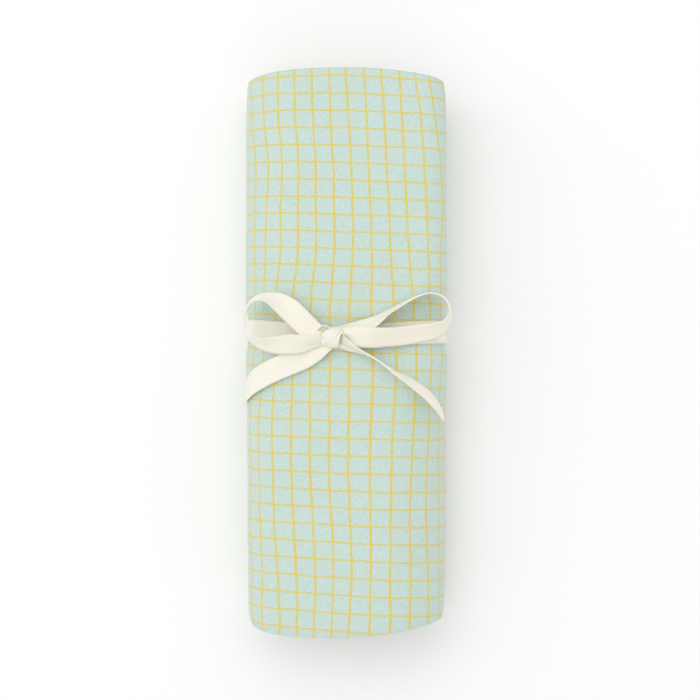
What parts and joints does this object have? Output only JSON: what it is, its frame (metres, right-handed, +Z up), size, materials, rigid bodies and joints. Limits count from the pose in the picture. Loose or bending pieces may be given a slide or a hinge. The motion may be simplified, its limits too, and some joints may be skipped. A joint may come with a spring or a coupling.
{
  "type": "rolled fitted crib sheet",
  "caption": "Fitted crib sheet folded lengthwise, rolled into an oval roll and tied round the middle with a flat tape in a bow.",
  "frame": {"origin": "on the surface that the roll rests on, under the middle of the roll", "axes": "+Y along the roll (up in the picture), +X across it to the picture's right, +Z up through the bow"},
  "size_m": [0.0933, 0.2485, 0.0655],
  "materials": {
    "cloth": "plain woven cotton, pale mint with a thin mustard windowpane check, matt",
    "tape": "flat woven cotton tape, undyed cream, matt"
  },
  "bodies": {
    "root": {"sheet_roll": "cloth", "tie_tape": "tape"}
  },
  "joints": []
}
